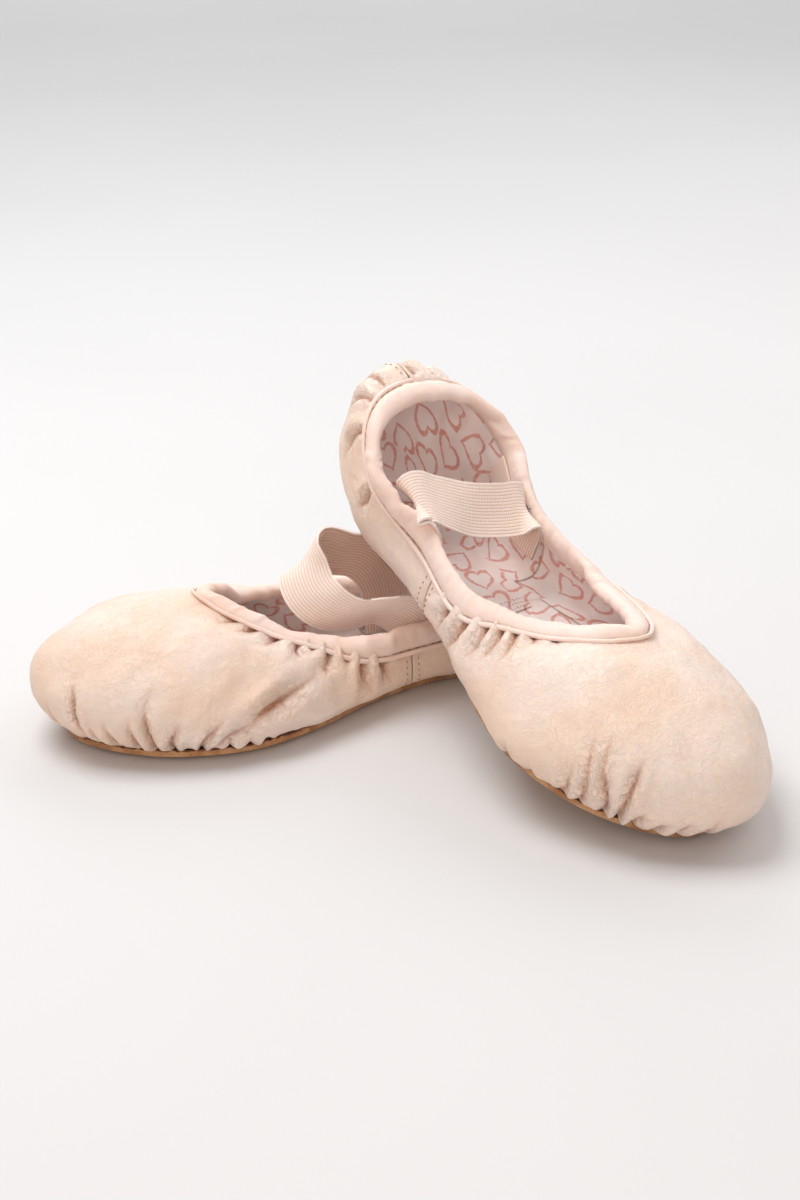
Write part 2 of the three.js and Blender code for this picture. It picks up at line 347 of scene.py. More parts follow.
RESTING_CREASES = [
    Crease(((20.05, 0.03), (20.25, 0.13), (20.5, 0.24)), 2.3, 0.9),
    Crease(((19.4, 0.03), (19.55, 0.14), (19.75, 0.27)), 2.5, 1.0),
    Crease(((18.95, 0.03), (19.0, 0.16), (19.3, 0.3), (19.35, 0.44)), 2.7, 1.1),
    Crease(((18.4, 0.03), (18.36, 0.14), (18.1, 0.27)), 2.5, 1.0),
    Crease(((17.6, 0.03), (17.4, 0.15), (16.8, 0.3)), 2.1, 1.0),
    Crease(((20.7, 0.03), (20.85, 0.12), (21.0, 0.24)), 1.5, 0.9),
    Crease(((21.2, 0.12), (21.55, 0.25), (21.95, 0.33), (22.1, 0.42)), 1.7, 1.1, fade_start=0.25),
    Crease(((16.3, 0.16), (15.75, 0.3), (14.9, 0.4), (14.0, 0.5), (13.2, 0.63), (12.9, 0.72)),
           2.9, 2.6, 0.55, fade_start=0.3, spread=0.6),
    Crease(((17.2, 0.1), (16.6, 0.2), (15.7, 0.29)), 1.6, 1.5, fade_start=0.3),
    Crease(((10.6, 0.86), (10.3, 0.6), (9.95, 0.4)), 2.9, 1.7, 0.5, spread=1.1),
    Crease(((11.35, 0.86), (11.3, 0.62), (10.9, 0.36)), 3.0, 1.8, 0.5, spread=1.1),
    Crease(((12.1, 0.86), (12.05, 0.66)), 2.2, 1.4, 0.5),
    Crease(((12.95, 0.86), (12.9, 0.7), (13.1, 0.55)), 2.5, 1.6, 0.5, spread=1.1),
    Crease(((13.7, 0.88), (13.8, 0.74)), 1.7, 1.4, 0.5),
    Crease(((14.7, 0.9), (14.6, 0.78), (14.2, 0.68)), 1.9, 1.4, 0.5),
    Crease(((15.9, 0.92), (16.2, 0.8), (16.4, 0.72)), 1.3, 1.3, 0.5),
    Crease(((17.3, 0.94), (17.8, 0.84), (18.2, 0.77)), 1.2, 1.3, 0.5),
    Crease(((18.6, 0.95), (19.2, 0.87), (19.6, 0.8)), 0.9, 1.3, 0.5),
]
PROPPED_CREASES = [
    Crease(((29.5, 0.03), (29.4, 0.17), (29.35, 0.32), (29.2, 0.47)), 1.5, 1.4, fade_start=0.1),
    Crease(((28.7, 0.03), (28.65, 0.15), (28.9, 0.33), (28.6, 0.48)), 1.5, 1.3, 0.5),
    Crease(((28.15, 0.03), (28.2, 0.18), (27.9, 0.33), (27.5, 0.42)), 2.0, 1.2, 0.5),
    Crease(((27.65, 0.03), (27.7, 0.12), (27.5, 0.22)), 2.4, 1.0),
    Crease(((27.05, 0.03), (27.0, 0.12), (26.7, 0.2)), 2.4, 1.0),
    Crease(((26.4, 0.03), (26.2, 0.13), (25.9, 0.22)), 2.2, 1.0),
    Crease(((25.6, 0.03), (25.5, 0.12), (25.3, 0.19)), 1.6, 1.0),
    Crease(((30.1, 0.05), (29.9, 0.2), (29.75, 0.34)), 1.3, 1.3, fade_start=0.2),
    Crease(((37.4, 0.84), (37.6, 0.55), (37.9, 0.3)), 2.6, 2.0, 0.5, spread=1.0),
    Crease(((36.3, 0.86), (36.5, 0.6), (36.9, 0.34), (37.1, 0.2)), 2.7, 2.2, 0.5, spread=1.0),
    Crease(((35.2, 0.86), (35.3, 0.62), (35.6, 0.42)), 2.2, 1.7, 0.5, spread=1.1),
    Crease(((34.5, 0.87), (34.45, 0.68), (34.7, 0.5)), 1.9, 1.5, 0.5, spread=1.1),
    Crease(((33.7, 0.87), (33.6, 0.7), (33.7, 0.56)), 1.5, 1.4, 0.5),
    Crease(((32.6, 0.9), (32.3, 0.76)), 0.9, 1.3, 0.5),
    Crease(((31.4, 0.92), (30.9, 0.82)), 0.8, 1.2, 0.5),
    Crease(((45.6, 0.86), (45.5, 0.72), (45.3, 0.62)), 1.5, 1.4, 0.5),
    Crease(((44.3, 0.84), (44.2, 0.66), (44.3, 0.5)), 2.0, 1.8, 0.5),
    Crease(((42.6, 0.82), (42.6, 0.6), (42.9, 0.46)), 1.7, 1.7, 0.5),
]


# ---------------------------------------------------------------- meshes from primitives
def activate(piece: Piece) -> None:
    """Selects one object alone and makes it the active one."""
    bpy.ops.object.select_all(action="DESELECT")
    piece.select_set(True)
    bpy.context.view_layer.objects.active = piece


def coordinates(piece: Piece) -> Points:
    """The vertex places of a mesh object."""
    flat = np.empty(len(piece.data.vertices) * 3)
    piece.data.vertices.foreach_get("co", flat)
    return flat.reshape(-1, 3)


def shape(piece: Piece, points: Points) -> None:
    """Moves the vertices of a mesh object to the given places."""
    piece.data.vertices.foreach_set("co", np.asarray(points, float).ravel())
    piece.data.update()


def set_uv(piece: Piece, per_vertex: Points) -> None:
    """Writes a UV map of the piece's own, in millimetres along its surface."""
    layer = piece.data.uv_layers.active or piece.data.uv_layers.new(name="UVMap")
    corners = np.empty(len(piece.data.loops), int)
    piece.data.loops.foreach_get("vertex_index", corners)
    layer.data.foreach_set("uv", np.asarray(per_vertex, float)[corners].ravel())


def paint(piece: Piece, name: str, values: Points) -> None:
    """Stores one number for each vertex as a named attribute."""
    attribute = piece.data.attributes.new(name, "FLOAT", "POINT")
    attribute.data.foreach_set("value", np.asarray(values, np.float32).ravel())


def edit(piece: Piece, *steps: tuple) -> None:
    """Runs mesh operators, each as (operator, settings), on all of a piece in edit mode."""
    activate(piece)
    bpy.ops.object.mode_set(mode="EDIT")
    bpy.ops.mesh.select_all(action="SELECT")
    for operator, settings in steps:
        operator(**settings)
    bpy.ops.object.mode_set(mode="OBJECT")


def draw(name: str, index: tuple, points: Points, uv: Points | None, marks: dict | None) -> Piece:
    """Moves the new primitive's vertices onto a surface.

    Args:
        name: the piece's name.
        index: for each vertex, its two numbers in the arrays that follow.
        points: a grid of places in metres.
        uv: the same grid in millimetres along the surface, or None.
        marks: grids of named attributes, or None.

    Returns:
        The primitive.
    """
    piece = bpy.context.active_object
    piece.name = piece.data.name = name
    shape(piece, points[index])
    if uv is not None:
        set_uv(piece, uv[index])
    for mark, values in (marks or {}).items():
        paint(piece, mark, values[index])
    return piece


def add_sheet(name: str, points: Points, uv: Points | None = None, marks: dict | None = None) -> Piece:
    """A sheet from a grid primitive whose vertices are drawn onto a surface.

    Args:
        name: the piece's name.
        points: columns by rows by 3 places, in metres.
        uv: columns by rows by 2, in millimetres.
        marks: named attributes, each columns by rows.

    Returns:
        The new object.
    """
    columns, rows = points.shape[:2]
    bpy.ops.object.select_all(action="DESELECT")
    bpy.ops.mesh.primitive_grid_add(x_subdivisions=columns - 1, y_subdivisions=rows - 1, size=2)
    flat = coordinates(bpy.context.active_object)
    i = np.rint((flat[:, 0] + 1) / 2 * (columns - 1)).astype(int)
    j = np.rint((flat[:, 1] + 1) / 2 * (rows - 1)).astype(int)
    return draw(name, (i, j), points, uv, marks)


def add_loop(name: str, points: Points, uv: Points | None = None) -> Piece:
    """A closed ring from a grid primitive whose opposite edges are welded together.

    Args:
        name: the piece's name.
        points: sections by section points by 3 places, in metres.
        uv: one more section and one more section point by 2, in millimetres.

    Returns:
        The new object.
    """
    closed = np.concatenate([points, points[:1]])
    piece = add_sheet(name, np.concatenate([closed, closed[:, :1]], axis=1), uv)
    edit(piece, (bpy.ops.mesh.remove_doubles, {"threshold": 0.001 * MM}),
         (bpy.ops.mesh.normals_make_consistent, {"inside": False}))
    return piece


def add_plate(name: str, layers: Points, uv: Points | None = None, marks: dict | None = None) -> Piece:
    """A closed plate from a sphere primitive whose rings are drawn onto outlines.

    Args:
        name: the piece's name.
        layers: outlines from the middle of the top, over the rim, to the middle of the
            bottom, each the same count of points; the first and last are one place.
        uv: one pair for each point of each layer, in millimetres.
        marks: named attributes, one number for each point of each layer.

    Returns:
        The new object.
    """
    rings, count = layers.shape[:2]
    bpy.ops.object.select_all(action="DESELECT")
    bpy.ops.mesh.primitive_uv_sphere_add(segments=count, ring_count=rings - 1, radius=1)
    flat = coordinates(bpy.context.active_object)
    ring = np.rint(np.arccos(np.clip(flat[:, 2], -1, 1)) / np.pi * (rings - 1)).astype(int)
    turn = np.rint(np.arctan2(flat[:, 1], flat[:, 0]) / (2 * np.pi) * count).astype(int) % count
    return draw(name, (ring, turn), layers, uv, marks)


def apply_modifier(piece: Piece, kind: str, **settings: object) -> None:
    """Adds a modifier, sets it up and applies it to the mesh."""
    activate(piece)
    modifier = piece.modifiers.new(kind.title(), kind)
    for name, value in settings.items():
        setattr(modifier, name, value)
    bpy.ops.object.modifier_apply(modifier=modifier.name)


def thicken(piece: Piece, thickness: float) -> None:
    """Gives a sheet its thickness on its inner side, in millimetres."""
    apply_modifier(piece, "SOLIDIFY", thickness=thickness * MM, offset=-1, use_even_offset=False)


def add_stitches(name: str, centres: Points, along: Points, out: Points, size: tuple) -> Piece:
    """A row of stitches: one is modelled, copied to each place and joined into one piece.

    Args:
        name: the piece's name.
        centres: n places in metres.
        along: n directions of the thread.
        out: n directions away from the leather.
        size: length, width and height of a stitch in millimetres.

    Returns:
        The new object.
    """
    bpy.ops.object.select_all(action="DESELECT")
    bpy.ops.mesh.primitive_uv_sphere_add(segments=8, ring_count=5, radius=0.5)
    first = bpy.context.active_object
    middle = {"center_override": (0, 0, 0)}
    edit(first, (bpy.ops.transform.rotate, {"value": math.pi / 2, "orient_axis": "Y", **middle}),
         (bpy.ops.transform.resize, {"value": tuple(length * MM for length in size), **middle}))
    along = unit(along - (along * out).sum(1, keepdims=True) * out)
    across = np.cross(out, along)
    copies = []
    for place, x, y, z in zip(centres, along, across, out):
        copy = first.copy()
        copy.data = first.data.copy()
        copy.data.transform(Matrix.Translation(place) @ Matrix((x, y, z)).transposed().to_4x4())
        bpy.context.scene.collection.objects.link(copy)
        copies.append(copy)
    bpy.data.objects.remove(first)
    bpy.ops.object.select_all(action="DESELECT")
    for copy in copies:
        copy.select_set(True)
    bpy.context.view_layer.objects.active = copies[0]
    bpy.ops.object.join()
    row = bpy.context.active_object
    row.name = row.data.name = name
    return row


# ---------------------------------------------------------------- finishes
def colour(text: str) -> tuple:
    """An sRGB hex colour as linear red, green, blue and alpha."""
    parts = [int(text[k:k + 2], 16) / 255 for k in (1, 3, 5)]
    return (*(c / 12.92 if c <= 0.04045 else ((c + 0.055) / 1.055) ** 2.4 for c in parts), 1.0)


def per_mm(size: float) -> float:
    """The scale of a texture whose features are size millimetres across, on metres."""
    return 1 / (size * MM)


@dataclass(frozen=True)
class Eased:
    """A number that goes smoothly from start, where value is low, to end, where it is high."""

    value: object
    low: float
    high: float
    start: float = 0.0
    end: float = 1.0


class Finish:
    """A material under construction: its node tree, its shader and its coordinates."""

    def __init__(self, name: str, **shader: object) -> None:
        """Starts the material and sets constants on the shader's own sockets."""
        self.material = bpy.data.materials.new(name)
        self.material.use_nodes = True
        self.tree = self.material.node_tree
        self.shader = self.tree.nodes["Principled BSDF"]
        self.feed(self.shader, {socket.replace("_", " "): value for socket, value in shader.items()})
        coordinate = self.add("TexCoord")
        self.place, self.uv = coordinate.outputs["Object"], coordinate.outputs["UV"]

    def feed(self, node: Node, inputs: dict) -> None:
        """Links or sets input sockets, by their names or numbers, from nodes, sockets or constants."""
        for socket, value in inputs.items():
            if isinstance(value, Eased):
                steps = {0: value.value, 1: value.low, 2: value.high, 3: value.start, 4: value.end}
                value = self.add("MapRange", steps, interpolation_type="SMOOTHSTEP")
            if isinstance(value, Node):
                value = value.outputs.get("Fac") or value.outputs[0]
            if isinstance(value, bpy.types.NodeSocket):
                self.tree.links.new(value, node.inputs[socket])
            else:
                node.inputs[socket].default_value = colour(value) if isinstance(value, str) else value

    def add(self, kind: str, inputs: dict | None = None, **settings: object) -> Node:
        """Adds a shader node.

        Args:
            kind: the node's type, without the leading ShaderNode.
            inputs: what each input socket is linked to or holds.
            settings: the node's own properties.

        Returns:
            The new node.
        """
        node = self.tree.nodes.new("ShaderNode" + kind)
        for name, value in settings.items():
            setattr(node, name, value)
        self.feed(node, inputs or {})
        return node

    def coats(self, first: object, *coats: tuple) -> bpy.types.NodeSocket:
        """Colours laid over the first one, each as (how much of it, colour)."""
        for amount, tint in coats:
            first = self.add("Mix", {0: amount, 6: first, 7: tint}, data_type="RGBA").outputs[2]
        return first

    def dress(self, base: object, roughness: object, *bumps: tuple) -> Material:
        """Links what varies over the surface, with bumps as (height, depth in millimetres)."""
        self.feed(self.shader, {"Base Color": base, "Roughness": roughness})
        below = {}
        for height, depth in bumps:
            bump = {"Height": height, "Distance": depth * MM, "Strength": 1.0, **below}
            below = {"Normal": self.add("Bump", bump)}
        self.feed(self.shader, below)
        return self.material


@dataclass(frozen=True)
class NappaLeather:
    """Drum-dyed nappa: soft, satin, finely grained, with vein-like crinkles where it creases and painted shade in
    its creases.
    """

    name: str = "nappa_leather"
    light: str = "#fbe3d7"
    deep: str = "#f8d6c1"
    # Colour of the painted shade in the deep parts of the creases and along their lines.
    painted_crease_shade: str = "#c67c4e"
    roughness: float = 0.47
    grain: float = 0.8
    grain_depth: float = 0.05
    crinkle: float = 2.6
    crinkle_depth: float = 0.42
    dent_depth: float = 0.45

    def build(self) -> Material:
        """Makes the material."""
        look = Finish(self.name, Subsurface_Weight=0.28, Subsurface_Scale=0.003,
                      Subsurface_Radius=(1.0, 0.4, 0.2), Specular_IOR_Level=0.4, IOR=1.45)
        creased, painted_crease_shade = (look.add("Attribute", attribute_name=mark) for mark in ("creased", "painted_crease_shade"))
        cloud, mottle, veins, dents = (
            look.add("TexNoise", {"Vector": look.place, "Scale": per_mm(size), "Detail": detail})
            for size, detail in ((38, 2), (4.5, 4), (self.crinkle, 5), (9, 2)))
        # Painted shade: the crease mark darkens the leather towards a warm brown in its creases.
        shade = look.add("Math", {0: painted_crease_shade, 1: 0.72}, operation="MULTIPLY")
        base = look.coats(self.light, (Eased(cloud, 0.32, 0.7), self.deep),
                          (Eased(mottle, 0.45, 0.7, 0, 0.25), self.deep), (shade, self.painted_crease_shade))
        cells = look.add("TexVoronoi", {"Vector": look.place, "Scale": per_mm(self.grain)}, feature="SMOOTH_F1")
        look.feed(veins, {"Distortion": 1.1})
        ridge = look.add("Math", {0: veins, 1: 0.5}, operation="SUBTRACT")
        ridge = look.add("Math", {0: ridge}, operation="ABSOLUTE")
        strength = look.add("Math", {0: creased, 1: 0.75, 2: 0.25}, operation="MULTIPLY_ADD")
        crinkles = look.add("Math", {0: Eased(ridge, 0.0, 0.09), 1: strength}, operation="MULTIPLY")
        roughness = Eased(mottle, 0.3, 0.7, self.roughness - 0.05, self.roughness + 0.07)
        return look.dress(base, roughness, (cells, self.grain_depth), (crinkles, self.crinkle_depth),
                          (dents, self.dent_depth))


@dataclass(frozen=True)
class SplitSuede:
    """Chrome-tanned split suede: napped and matt, with a darker, ragged cut edge whose dark colour is partly the
    raw cut and partly painted shadow under the leather's overhang.
    """

    nap: str = "#d3a377"
    worn: str = "#b07d52"
    # Dark colour of the raw cut edge, partly painted shadow under the leather's overhang; it also colours the dark
    # fibre flecks.
    cut_edge_and_shadow: str = "#6f3f26"
    fibre: float = 0.45
    nap_depth: float = 0.35

    def build(self) -> Material:
        """Makes the material."""
        look = Finish("split_suede", Sheen_Weight=0.25, Sheen_Roughness=0.5, Specular_IOR_Level=0.25)
        fibres, patches, frays = (
            look.add("TexNoise", {"Vector": look.place, "Scale": per_mm(size), "Detail": detail})
            for size, detail in ((self.fibre, 6), (7, 3), (1.6, 4)))
        # The edge mark lays on the dark edge colour: partly the raw cut, partly painted shadow under the leather.
        edge = look.add("Attribute", attribute_name="edge")
        ragged = look.add("Math", {0: frays, 1: 0.9, 2: edge}, operation="MULTIPLY_ADD")
        base = look.coats(self.nap, (Eased(patches, 0.35, 0.65), self.worn),
                          (Eased(fibres, 0.45, 0.75, 0, 0.5), self.cut_edge_and_shadow),
                          (Eased(ragged, 0.8, 1.1), self.cut_edge_and_shadow))
        return look.dress(base, Eased(fibres, 0.3, 0.7, 0.88, 1.0), (fibres, self.nap_depth))


@dataclass(frozen=True)
class HeartPrintCotton:
    """Combed cotton drill with a pigment print of hand-drawn heart outlines."""

    cloth: str = "#fdf6f4"
    warm: str = "#f8e8e3"
    ink: str = "#e3a295"
    cell: float = 14.2
    heart: float = 5.6
    line: float = 0.2
    scatter: float = 0.22
    thread: float = 0.55
    weave_depth: float = 0.02
    pucker_depth: float = 0.5

    def build(self) -> Material:
        """Makes the material."""
        look = Finish("heart_print_cotton", Sheen_Weight=0.15, Specular_IOR_Level=0.25)
        shade, wear, puckers, fuzz = (
            look.add("TexNoise", {"Vector": look.place, "Scale": per_mm(size), "Detail": detail})
            for size, detail in ((14, 3), (1.1, 3), (6, 3), (1.0, 2)))
        faded = Eased(wear, 0.25, 0.6, 0.55, 0.95)
        printed = look.add("Math", {0: self.hearts(look), 1: faded}, operation="MULTIPLY")
        base = look.coats(self.cloth, (Eased(shade, 0.35, 0.7), self.warm), (printed, self.ink))
        along, down = look.add("SeparateXYZ", {0: look.uv}).outputs[:2]
        slant = look.add("Math", {0: along, 1: down}, operation="ADD")
        turn = 2 * math.pi / self.thread
        threads = []
        for place, rate in ((slant, turn), (down, turn * 1.4)):
            phase = look.add("Math", {0: place, 1: rate}, operation="MULTIPLY")
            threads.append(look.add("Math", {0: phase}, operation="SINE"))
        weave = look.add("Math", {0: threads[1], 1: 0.6, 2: threads[0]}, operation="MULTIPLY_ADD")
        return look.dress(base, Eased(fuzz, 0.3, 0.7, 0.85, 0.97), (weave, self.weave_depth),
                          (puckers, self.pucker_depth))

    def hearts(self, look: Finish) -> Eased:
        """The print: one heart in each cell, shifted and turned at random, 1 on its line."""
        scaled = look.add("VectorMath", {0: look.uv, 3: 1 / self.cell}, operation="SCALE")
        across, down = look.add("SeparateXYZ", {0: scaled}).outputs[:2]
        row = look.add("Math", {0: down}, operation="FLOOR")
        shifted = look.add("Math", {0: row, 1: 0.5, 2: across}, operation="MULTIPLY_ADD")
        place = look.add("CombineXYZ", {0: shifted, 1: down, 2: 0.0})
        corner = look.add("VectorMath", {0: place}, operation="FLOOR")
        seed = look.add("VectorMath", {0: corner, 1: (0.0, 0.0, 7.0)}, operation="ADD")
        random = look.add("TexWhiteNoise", {0: seed}, noise_dimensions="3D")
        inside = look.add("VectorMath", {0: place, 1: corner}, operation="SUBTRACT")
        grow, shift = self.cell / self.heart, self.scatter / 2 - 0.5
        moved = look.add("VectorMath", {0: random.outputs["Color"], 1: (-self.scatter,) * 3, 2: inside},
                         operation="MULTIPLY_ADD")
        local = look.add("VectorMath", {0: moved, 1: (grow,) * 3, 2: (grow * shift,) * 3},
                         operation="MULTIPLY_ADD")
        angle = look.add("Math", {0: random.outputs["Value"], 1: 2 * math.pi}, operation="MULTIPLY")
        turned = look.add("VectorRotate", {"Vector": local, "Angle": angle}, rotation_type="Z_AXIS")
        x, y = look.add("SeparateXYZ", {0: turned}).outputs[:2]
        size = look.add("Math", {0: x}, operation="ABSOLUTE")
        lobe = look.add("Math", {0: size}, operation="SQRT")
        notch = look.add("Math", {0: lobe, 1: -0.8}, operation="MULTIPLY")
        tall = look.add("Math", {0: y, 1: 1.2, 2: notch}, operation="MULTIPLY_ADD")
        spot = look.add("CombineXYZ", {0: x, 1: tall, 2: 0.0})
        radius = look.add("VectorMath", {0: spot}, operation="LENGTH").outputs["Value"]
        off = look.add("Math", {0: radius, 1: 0.98}, operation="SUBTRACT")
        ring = look.add("Math", {0: off}, operation="ABSOLUTE")
        wobble = look.add("TexNoise", {"Vector": look.place, "Scale": per_mm(2.6), "Detail": 1})
        shaky = look.add("Math", {0: wobble, 1: 0.2, 2: ring}, operation="MULTIPLY_ADD")
        return Eased(shaky, self.line * 0.45 + 0.1, self.line + 0.1, 1.0, 0.0)


@dataclass(frozen=True)
class RibbedElastic:
    """Woven elastic: covered rubber ribs along it and fine cotton picks across."""

    rib: str = "#fdeee4"
    # The groove colour is painted shade between the ribs; the random fuzz is tinted with it too.
    groove: str = "#eac6b0"
    pick: float = 0.7
    pick_depth: float = 0.035
    fuzz_depth: float = 0.08

    def build(self) -> Material:
        """Makes the material."""
        look = Finish("ribbed_elastic", Sheen_Weight=0.2, Specular_IOR_Level=0.3)
        along = look.add("SeparateXYZ", {0: look.uv})
        phase = look.add("Math", {0: along, 1: 2 * math.pi / self.pick}, operation="MULTIPLY")
        picks = look.add("Math", {0: phase}, operation="SINE")
        fuzz = look.add("TexNoise", {"Vector": look.place, "Scale": per_mm(0.7), "Detail": 3})
        # Painted shade: the groove mark darkens the colour between the ribs.
        groove = look.add("Attribute", attribute_name="groove")
        base = look.coats(self.rib, (Eased(groove, 0.25, 0.95), self.groove),
                          (Eased(fuzz, 0.4, 0.75, 0, 0.25), self.groove))
        return look.dress(base, Eased(fuzz, 0.3, 0.7, 0.75, 0.92), (picks, self.pick_depth),
                          (fuzz, self.fuzz_depth))


@dataclass(frozen=True)
class SewingThread:
    """Spun polyester thread: two plies twisted together, slightly hairy."""

    name: str = "sewing_thread"
    # The default colours are a darker tan than the thread's own pink-beige: they partly stand for painted shade in
    # the stitch holes.
    light: str = "#c99f88"
    dark: str = "#a8806b"
    ply: float = 0.35
    ply_depth: float = 0.05

    def build(self) -> Material:
        """Makes the material."""
        look = Finish(self.name, Sheen_Weight=0.2, Specular_IOR_Level=0.35)
        plies = look.add("TexNoise", {"Vector": look.place, "Scale": per_mm(self.ply), "Detail": 2})
        base = look.coats(self.light, (Eased(plies, 0.35, 0.65), self.dark))
        return look.dress(base, Eased(plies, 0.3, 0.7, 0.6, 0.8), (plies, self.ply_depth))


@dataclass(frozen=True)
class FibreBoard:
    """Pressed cellulose board: grey-brown, flecked and slightly rough."""

    pulp: str = "#cbb79b"
    fleck: str = "#8d7356"
    fleck_size: float = 0.8
    fleck_depth: float = 0.08

    def build(self) -> Material:
        """Makes the material."""
        look = Finish("fibre_board", Specular_IOR_Level=0.3)
        flecks = look.add("TexNoise", {"Vector": look.place, "Scale": per_mm(self.fleck_size), "Detail": 5})
        base = look.coats(self.pulp, (Eased(flecks, 0.5, 0.72), self.fleck))
        return look.dress(base, Eased(flecks, 0.3, 0.7, 0.8, 0.95), (flecks, self.fleck_depth))


def made(finish: type, *settings: object) -> object:
    """A field that holds a finish, built together with the wardrobe."""
    return field(default_factory=lambda: finish(*settings).build())


@dataclass
class Wardrobe:
    """Every finish of the pair, made once."""

    leather: Material = made(NappaLeather)
    # The binding's third colour is the colour of its painted crease shade.
    binding: Material = made(NappaLeather, "binding_leather", "#f8e0d6", "#f4d6c8", "#d99d7e", 0.5, 0.7, 0.03,
                             2.2, 0.1)
    suede: Material = made(SplitSuede)
    cotton: Material = made(HeartPrintCotton)
    elastic: Material = made(RibbedElastic)
    thread: Material = made(SewingThread)
    dark_thread: Material = made(SewingThread, "dark_thread", "#4b3430", "#241715")
    pale_thread: Material = made(SewingThread, "pale_thread", "#e9dcd6", "#c9b8b0")
    board: Material = made(FibreBoard)


# ---------------------------------------------------------------- one slipper
@dataclass
class Slipper:
    """Where one slipper lies, what it is drawn on and what all its parts share."""

    prefix: str
    mount: str
    joint: str
    finishes: Wardrobe
    last: Last
    seed: int
    creases: list
    mount_from_heel: float = 110.0
    origin: Points = field(init=False)
    axes: Points = field(init=False)

    def __post_init__(self) -> None:
        """Finds the slipper's frame from its sole's mount and its strap's joint."""
        record = frame["record"]
        mount = next(m for m in record["mounts"] if m["name"] == self.mount)
        self.hinge = next(j for j in frame["joints"] if j["name"] == self.joint)
        up = -unit(np.array(mount["axis"], float))
        side = unit(np.array(self.hinge["axis"], float))
        low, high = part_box(f"{self.prefix}_vamp")
        toe = (np.array(low) + np.array(high)) / 2 - np.array(mount["pos_m"])
        if np.cross(side, up) @ toe < 0:
            side = -side
        ahead = unit(np.cross(side, up))
        self.axes = np.stack([ahead, side, up])
        self.origin = np.array(mount["pos_m"], float) - self.mount_from_heel * MM * ahead

    @property
    def body(self) -> str:
        """The CAD body of the slipper itself."""
        return f"{self.prefix}_slipper"

    @property
    def pivot(self) -> Points:
        """The strap's joint in the slipper's own frame, in millimetres."""
        return (np.array(self.hinge["pos_m"]) - self.origin) @ self.axes.T / MM

    def place(self, points: Points) -> Points:
        """Own frame in millimetres to the shared frame in metres."""
        return points @ self.axes * MM + self.origin

    def turn(self, directions: Points) -> Points:
        """Directions of the own frame as directions of the shared frame."""
        return directions @ self.axes

    def keep(self, piece: Piece, finish: Material, slot: Slot, *nodes: str, smooth: float = 180.0,
             rides: bool = True) -> None:
        """Dresses a piece, ties it to the slipper's body when it rides and hides the nodes it stands for.

        Args:
            piece: the new object, in place.
            finish: its material.
            slot: the record's material slot; not used.
            nodes: the CAD nodes that it replaces, without the slipper's prefix.
            smooth: faces that meet at less than this many degrees are shaded smooth.
            rides: whether the piece simply rides on the slipper.
        """
        piece.data.materials.clear()
        piece.data.materials.append(finish)
        activate(piece)
        bpy.ops.object.shade_smooth_by_angle(angle=math.radians(smooth))
        if rides:
            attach(piece, self.body)
        if nodes:
            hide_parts(*(f"{self.prefix}_{node}" for node in nodes))
        LOG.info("%s: %d vertices", piece.name, len(piece.data.vertices))

    def sew(self, name: str, centres: Points, along: Points, out: Points, size: tuple, thread: Material,
            *nodes: str) -> None:
        """A row of stitches, from places and directions in the slipper's own frame.

        Args:
            name: the row's name, without the slipper's prefix.
            centres: n places in millimetres.
            along: n directions of the thread.
            out: n directions away from the leather.
            size: length, width and height of a stitch in millimetres.
            thread: its finish.
            nodes: the CAD nodes that it replaces, without the slipper's prefix.
        """
        row = add_stitches(f"{self.prefix}_{name}", self.place(centres), self.turn(unit(along)),
                           self.turn(out), size)
        self.keep(row, thread, Slot.THREAD, *nodes)


